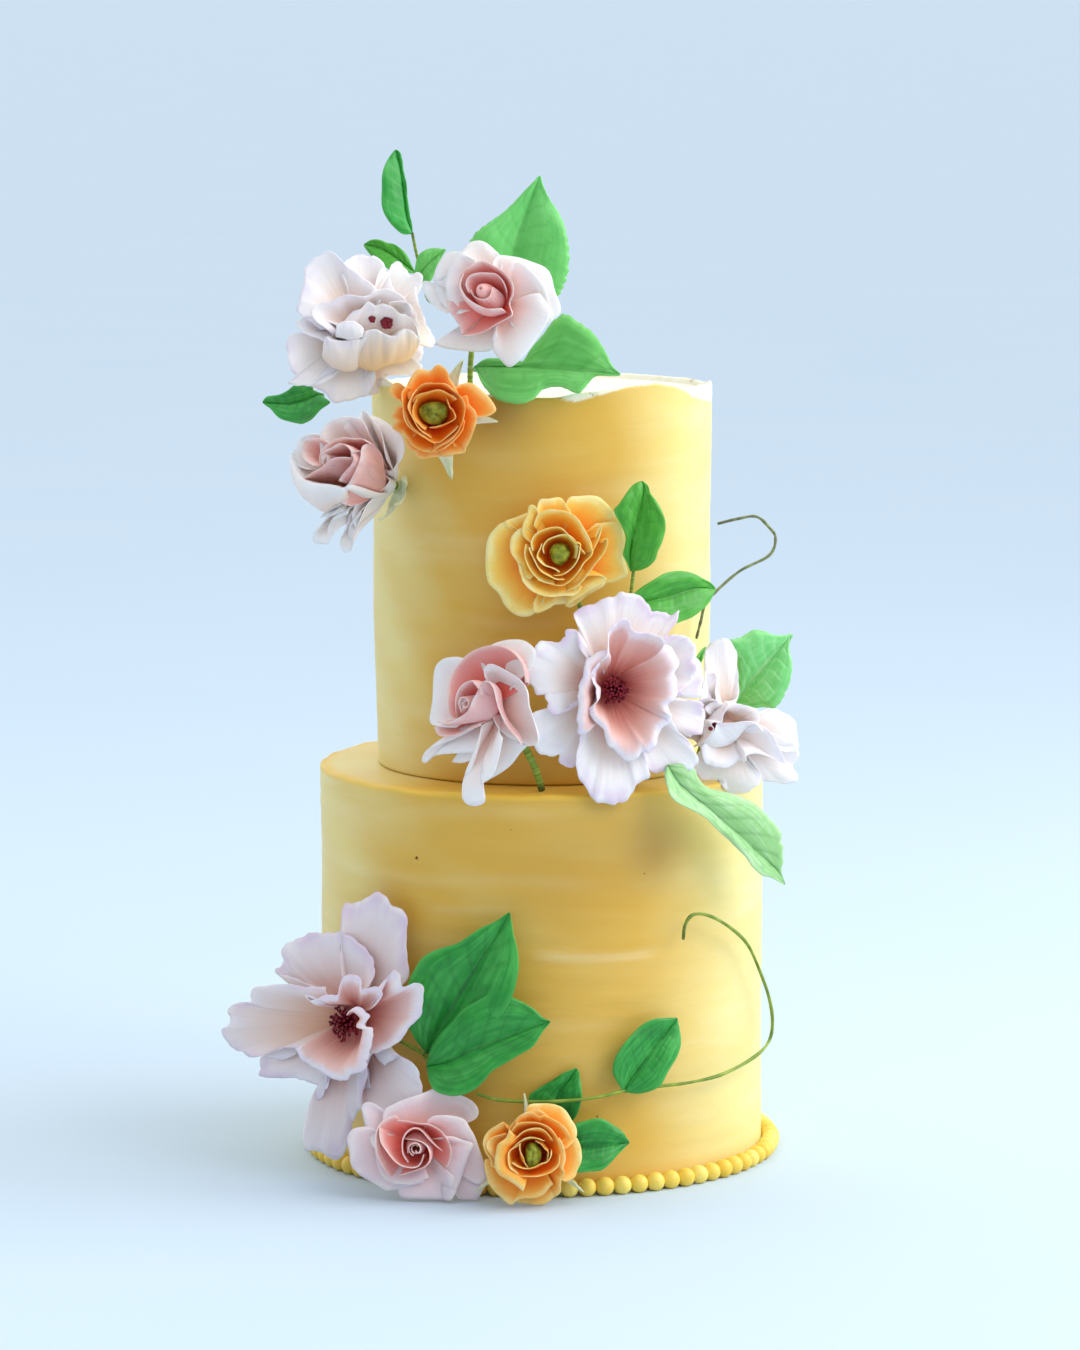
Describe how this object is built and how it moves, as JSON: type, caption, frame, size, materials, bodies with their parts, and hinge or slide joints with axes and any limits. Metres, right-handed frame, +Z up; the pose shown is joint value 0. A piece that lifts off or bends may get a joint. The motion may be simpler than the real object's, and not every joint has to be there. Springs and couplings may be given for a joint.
{
  "type": "wedding cake",
  "caption": "Tiered round iced cake with a pearl border round the base and sprays of sugar roses, peonies, ranunculus, leaves and tendrils.",
  "frame": {"origin": "centre of the lower tier's flat underside, on the surface it stands on", "axes": "+Z up through both tiers; -Y is the front that the picture shows; +X is the viewer's right"},
  "size_m": [0.2718, 0.2543, 0.4757],
  "materials": {
    "icing": "satin yellow icing with soft streaks",
    "pearls": "satin yellow icing",
    "rose_petal": "dry sugar paste, pink inside and cream white outside",
    "peony_petal": "dry sugar paste, off-white with lilac edges",
    "ranunculus_petal": "dry sugar paste, orange with paler edges",
    "stamens": "dry burgundy sugar stamens",
    "green_eye": "granular green sugar",
    "calyx": "dry sugar paste, pale green cream",
    "leaf": "satin sugar leaf with fine veins",
    "stem": "dull green covered wire"
  },
  "bodies": {
    "root": {"lower_tier": "icing", "upper_tier": "icing", "pearl_border": "pearls", "crown_peony": "peony_petal", "crown_peony_stamens": "stamens", "crown_rose": "rose_petal", "crown_ranunculus": "ranunculus_petal", "crown_ranunculus_eye": "green_eye", "crown_ranunculus_calyx": "calyx", "crown_rosebud": "rose_petal", "crown_rosebud_calyx": "calyx", "crown_leaf_tall": "leaf", "crown_leaf_back": "leaf", "crown_leaf_small": "leaf", "crown_leaf_large": "leaf", "crown_leaf_front": "leaf", "crown_leaf_left": "leaf", "crown_leaf_tall_stem": "stem", "crown_rose_stem": "stem", "middle_ranunculus": "ranunculus_petal", "middle_ranunculus_eye": "green_eye", "middle_rose": "rose_petal", "middle_peony": "peony_petal", "middle_peony_stamens": "stamens", "side_peony": "peony_petal", "side_peony_stamens": "stamens", "middle_leaf_upright": "leaf", "middle_leaf_right": "leaf", "middle_leaf_side": "leaf", "middle_leaf_small": "leaf", "middle_leaf_hanging": "leaf", "middle_ranunculus_stem": "stem", "middle_leaf_upright_stem": "stem", "middle_rose_stem": "stem", "middle_tendril": "stem", "base_peony": "peony_petal", "base_peony_stamens": "stamens", "base_rose": "rose_petal", "base_ranunculus": "ranunculus_petal", "base_ranunculus_eye": "green_eye", "base_ranunculus_calyx": "calyx", "base_leaf_upper": "leaf", "base_leaf_lower": "leaf", "base_leaf_vine": "leaf", "base_leaf_right": "leaf", "base_leaf_tendril": "leaf", "base_spray_stem": "stem", "base_vine": "stem"}
  },
  "joints": []
}
